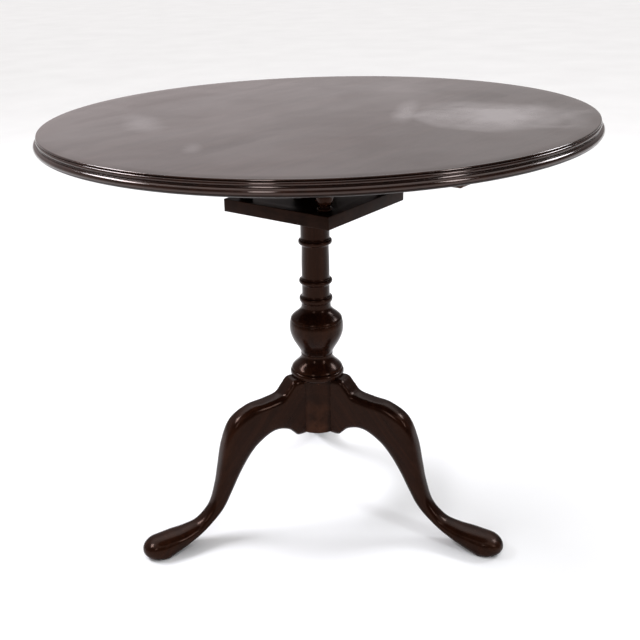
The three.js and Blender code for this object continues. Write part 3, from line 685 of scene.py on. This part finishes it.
def leg_mesh(reach, rise, tip):
    """A leg along +X, skinned over its superellipse sections."""
    bm = bmesh.new()
    rings = []
    around = 64
    for back, under, width, square in leg_sections(reach, rise, tip):
        middle, half = (back + under) / 2, (back - under) / 2
        ring = []
        for k in range(around):
            a = 2 * math.pi * (k + 0.5) / around
            up = math.copysign(abs(math.sin(a)) ** (2 / square), math.sin(a))
            across = math.copysign(abs(math.cos(a)) ** (2 / square), math.cos(a))
            place = middle + half * up
            ring.append(bm.verts.new((place.x, across * width / 2, max(0.0, place.z))))
        rings.append(ring)
    first = bm.verts.new(sum((v.co for v in rings[0]), Vector()) / around)
    last = bm.verts.new(sum((v.co for v in rings[-1]), Vector()) / around)
    skin(bm, [[first], *rings, [last]])
    return bm


def legs():
    """Three legs, each turned to the heading of its foot."""
    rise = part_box("column")[0].z + DRUM_HEIGHT
    for i in (1, 2, 3):
        node = f"leg_{i}"
        foot = next(m for m in frame["record"]["mounts"] if m["name"] == f"foot_{i}")
        heading = Vector(foot["pos_m"]).xy.normalized()
        points = [v.co.xy.dot(heading) for v in frame["nodes"][node].data.vertices]
        tip = max(points)
        bm = leg_mesh(tip - DRUM_RADIUS, rise, tip)
        turn = Matrix.Rotation(math.atan2(heading.y, heading.x), 4, "Z")
        bmesh.ops.transform(bm, matrix=turn, verts=bm.verts)
        along = (heading.x * 0.62, heading.y * 0.62, -0.78)
        add_piece(f"cabriole_leg_{i}", bm, "pedestal", [node], polished,
                  along=along, sharp=55)


# ---------- birdcage ----------
def pillar_profile(foot, head, low, high):
    """A pillar's section from tenon to tenon, between the blocks at foot and head."""
    height = head - foot
    neck = PILLAR_NECK_RADIUS
    bulge = foot + 0.28 * height
    collar = 6 * MM
    return rounded([
        (0, low), (PILLAR_TENON_RADIUS, low), (PILLAR_TENON_RADIUS, foot), (neck + 3 * MM, foot),
        *arc(neck + 1.5 * MM, foot + collar / 2, 2.2 * MM, collar / 2, -70, 70, 8),
        (neck, foot + collar),
        *arc(neck, bulge, PILLAR_RADIUS - neck, 0.15 * height, -80, 76, 22),
        (neck, foot + 0.46 * height), (neck - 0.4 * MM, foot + 0.6 * height),
        (neck - 1 * MM, head - 1.7 * collar), (neck + 1.2 * MM, head - 1.4 * collar),
        *arc(neck + 1 * MM, head - collar, 2 * MM, 0.35 * collar, -80, 80, 8),
        (neck + 1 * MM, head - 0.6 * collar), (neck + 3 * MM, head - 0.4 * collar),
        (neck + 3 * MM, head), (PILLAR_TENON_RADIUS, head), (PILLAR_TENON_RADIUS, high), (0, high),
    ], 0.35 * MM, 2)


def pillars():
    """Four pillars, each on the axis of its CAD node."""
    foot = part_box("lower_block")[1].z + BLOCK_SEAT_GAP
    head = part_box("upper_block")[0].z - BLOCK_SEAT_GAP
    for i in (1, 2, 3, 4):
        low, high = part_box(f"pillar_{i}")
        bm = turned(pillar_profile(foot, head, low.z, high.z), 72)
        moved(bm, ((low.x + high.x) / 2, (low.y + high.y) / 2, 0))
        add_piece(f"turned_pillar_{i}", bm, "birdcage", [f"pillar_{i}"],
                  polished)


def cage_collar():
    """The loose collar that the wedge bears on."""
    low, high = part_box("cage_collar")
    bore = SPIGOT_RADIUS + 0.6 * MM
    outer = high.x
    edge = (high.z - low.z) / 3
    outline = [
        (bore, low.z), (outer - edge / 2, low.z), (outer - 0.5 * MM, low.z + edge * 0.7),
        (outer, low.z + edge), (outer, high.z - edge),
        *arc(outer - edge, high.z - edge, edge * 0.92, edge, 0, 90, 8),
        (bore, high.z),
    ]
    bm = bmesh.new()
    profile = rounded(outline, 0.5 * MM)
    steps = 96
    rings = []
    for radius, z in [*profile, profile[0]]:
        angles = [2 * math.pi * k / steps for k in range(steps)]
        rings.append([bm.verts.new((radius * math.cos(a), radius * math.sin(a), z))
                      for a in angles])
    skin(bm, rings)
    bmesh.ops.remove_doubles(bm, verts=bm.verts, dist=0.01 * MM)
    bmesh.ops.recalc_face_normals(bm, faces=bm.faces)
    add_piece("turned_collar", bm, "pedestal", ["cage_collar"], polished)


def sawn_pieces():
    """Pieces whose CAD shape is right and only wants softened edges and a finish."""
    rows = [
        # the lower block sits under the top in the darker wood, painted shade
        ("softened_lower_block", "lower_block", "birdcage", painted_shade_wood, "polished_mahogany",
         1.2, (1, 0, 0)),
        ("softened_upper_block", "upper_block", "birdcage", dull, "unpolished_mahogany",
         0.8, (1, 0, 0)),
        ("softened_batten_1", "batten_1", "top", dull, "unpolished_mahogany", 1.2, (1, 0, 0)),
        ("softened_batten_2", "batten_2", "top", dull, "unpolished_mahogany", 1.2, (1, 0, 0)),
        ("tapered_wedge", "cage_wedge", "wedge", polished, "polished_mahogany", 0.8, (0, 1, 0)),
        ("filed_keeper", "keeper_plate", "birdcage", brass, "brass", 0.25, (0, 1, 0)),
        ("cast_catch_plate", "catch_plate", "top", brass, "brass", 0.3, (1, 0, 0)),
        ("forged_spider", "spider_plate", "pedestal", iron, "iron", 0.3, (1, 0, 0)),
    ]
    for name, node, body, material, slot, soften, along in rows:
        bm = from_node(node, soften * MM)
        add_piece(name, bm, body, [node], material, along=along)


# ---------- screws and bolt ----------
def screw_mesh(head, length, heading):
    """A countersunk screw with a slotted head at the origin, pointing along +Z."""
    shank, sink, slot = head * 0.5, head * SCREW_SINK, head * 0.16
    profile = [
        (0, 0), (head * 0.97, 0), (head, head * 0.04), (shank, sink),
        (shank, length - 2 * shank), (0, length),
    ]
    cutter = box_mesh((-2 * head, -slot, -head), (2 * head, slot, head * 0.28))
    bmesh.ops.rotate(cutter, verts=cutter.verts, matrix=Matrix.Rotation(heading, 3, "Z"))
    return carved(turned(profile, 40), cutter)


def screws():
    """Every screw, with its slot turned its own way."""
    groups = [
        ("batten_screw", 8, "top", iron, "iron"),
        ("spider_screw", 4, "pedestal", iron, "iron"),
        ("catch_screw", 4, "top", brass, "brass"),
        ("keeper_screw", 2, "birdcage", brass, "brass"),
    ]
    for stem, count, body, material, slot in groups:
        for i in range(1, count + 1):
            node = f"{stem}_{i}"
            low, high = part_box(node)
            size = high - low
            sideways = stem == "keeper_screw"
            length = size.x if sideways else size.z
            head = size.y / 2
            bm = screw_mesh(head, length, 0.7 * i)
            if sideways:
                bmesh.ops.rotate(bm, verts=bm.verts, matrix=Matrix.Rotation(math.pi / 2, 3, "Y"))
                moved(bm, (low.x, (low.y + high.y) / 2, (low.z + high.z) / 2))
            else:
                moved(bm, ((low.x + high.x) / 2, (low.y + high.y) / 2, low.z))
            add_piece(f"slotted_{node}", bm, body, [node], material)


def catch_bolt():
    """The flat bolt and its turned knob."""
    low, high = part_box("catch_bolt")
    bar_low = high.z - BOLT_THICKNESS
    bar = box_mesh((low.x, low.y, bar_low), (high.x, high.y, high.z))
    bmesh.ops.bevel(bar, geom=list(bar.edges), offset=0.4 * MM, segments=3, profile=0.6,
                    affect="EDGES")
    add_piece("catch_bolt_bar", bar, "bolt", ["catch_bolt"], brass, along=(1, 0, 0))
    below_bar = [v.co.x for v in frame["nodes"]["catch_bolt"].data.vertices
                 if v.co.z < bar_low - 2 * MM]
    knob_x = (min(below_bar) + max(below_bar)) / 2
    radius = BOLT_KNOB_RADIUS
    foot = low.z
    profile = [
        (0, foot), *arc(radius - 1.4 * MM, foot + 1.4 * MM, 1.4 * MM, 1.4 * MM, -90, 0, 8),
        *arc(radius - 1.2 * MM, foot + 3 * MM, 1.2 * MM, 1.2 * MM, 0, 80, 6),
        (radius * 0.62, foot + 4.6 * MM), (radius * 0.56, foot + 6 * MM),
        (radius * 0.62, bar_low - 0.8 * MM), (radius * 0.9, bar_low),
        (radius * 0.9, bar_low + 0.5 * MM), (0, bar_low + 0.5 * MM),
    ]
    knob = moved(turned(profile, 48), (knob_x, 0, 0))
    add_piece("catch_bolt_knob", knob, "bolt", ["catch_bolt"], brass)


# ---------- stage ----------
def floor():
    """A plain pale floor."""
    material, n = material_nodes("pale_floor")
    place = n.make("TexCoord").outputs["Object"]
    colour = n.ramp(n.noise(place, 2.5, 5.0), [(0.3, (0.86, 0.86, 0.86)), (0.7, (0.9, 0.9, 0.9))])
    n.finish(Base_Color=colour, Roughness=0.85, Specular_IOR_Level=0.1)
    bm = bmesh.new()
    bmesh.ops.create_circle(bm, cap_ends=True, segments=96, radius=40)
    ground = bpy.data.objects.new("floor", to_mesh(bm, "floor"))
    ground.data.materials.append(material)
    bpy.context.scene.collection.objects.link(ground)


def softbox(name, heading, elevation, distance, size, power, colour=(1, 1, 1)):
    """A rectangular studio light that faces the middle of the table."""
    lamp = bpy.data.lights.new(name, "AREA")
    lamp.shape = "RECTANGLE"
    lamp.size, lamp.size_y = size
    lamp.energy = power
    lamp.color = colour
    light = bpy.data.objects.new(name, lamp)
    h, e = math.radians(heading), math.radians(elevation)
    aim = Vector((0, 0, 0.5))
    way = Vector((math.cos(h) * math.cos(e), math.sin(h) * math.cos(e), math.sin(e)))
    light.location = aim + way * distance
    light.rotation_mode = "QUATERNION"
    light.rotation_quaternion = way.to_track_quat("Z", "Y")
    bpy.context.scene.collection.objects.link(light)


def soft_sun(name, heading, elevation, spread, strength):
    """A very soft even light from one side of the ceiling."""
    lamp = bpy.data.lights.new(name, "SUN")
    lamp.energy = strength
    lamp.angle = math.radians(spread)
    light = bpy.data.objects.new(name, lamp)
    h, e = math.radians(heading), math.radians(elevation)
    way = Vector((math.cos(h) * math.cos(e), math.sin(h) * math.cos(e), math.sin(e)))
    light.rotation_mode = "QUATERNION"
    light.rotation_quaternion = way.to_track_quat("Z", "Y")
    bpy.context.scene.collection.objects.link(light)


def studio():
    """A soft room, brighter on one side, with a ceiling light and four windows."""
    world = bpy.data.worlds.new("studio")
    bpy.context.scene.world = world
    world.use_nodes = True
    n = Nodes(world.node_tree)
    way = n.make("TexCoord").outputs["Generated"]
    h, e = math.radians(160), math.radians(5)
    bright = (math.cos(h) * math.cos(e), math.sin(h) * math.cos(e), math.sin(e))
    dot = n.make("VectorMath", {"operation": "DOT_PRODUCT"}, i0=way, i1=bright).outputs["Value"]
    tone = n.ramp(n.between(dot, -1.0, 1.0), [
        (0.0, (0.08, 0.08, 0.08)), (0.5, (0.19, 0.18, 0.18)), (0.8, (0.405, 0.375, 0.37)),
        (0.95, (0.53, 0.475, 0.475)), (1.0, (0.54, 0.485, 0.485))])
    background = n.make("Background", Color=tone, Strength=1.0)
    output = n.make("OutputWorld")
    world.node_tree.links.new(background.outputs[0], output.inputs[0])
    soft_sun("ceiling", 120, 82, 95, 2.4)
    softbox("window_left", -151, 42, 3.0, (1.5, 0.6), 78, (0.93, 0.94, 1.0))
    softbox("window_back", 60, 34, 2.75, (0.8, 0.5), 24, (0.92, 0.95, 1.0))
    softbox("window_front", -71, 24, 2.6, (0.34, 0.9), 10, (0.98, 0.98, 1.0))
    softbox("window_right", -3, 24, 2.6, (0.34, 1.0), 16, (0.92, 0.96, 1.0))


def camera():
    """The camera at the photograph's viewing angle."""
    eye = bpy.data.cameras.new("camera")
    eye.sensor_width = CAMERA_SENSOR
    eye.lens = CAMERA_LENS
    eye.shift_x, eye.shift_y = CAMERA_SHIFT
    look = Vector((math.cos(CAMERA_HEADING) * math.cos(CAMERA_PITCH),
                   math.sin(CAMERA_HEADING) * math.cos(CAMERA_PITCH), math.sin(CAMERA_PITCH)))
    level = look.cross(Vector((0, 0, 1))).normalized()
    up = level.cross(look)
    right = math.cos(CAMERA_ROLL) * level + math.sin(CAMERA_ROLL) * up
    top = math.cos(CAMERA_ROLL) * up - math.sin(CAMERA_ROLL) * level
    matrix = Matrix((right, top, -look)).transposed().to_4x4()
    matrix.translation = CAMERA_PLACE
    holder = bpy.data.objects.new("camera", eye)
    holder.matrix_world = matrix
    bpy.context.scene.collection.objects.link(holder)
    bpy.context.scene.camera = holder


camera()
floor()
studio()
bpy.context.scene.view_settings.view_transform = "Standard"

table_top()
column()
legs()
pillars()
cage_collar()
sawn_pieces()
screws()
catch_bolt()
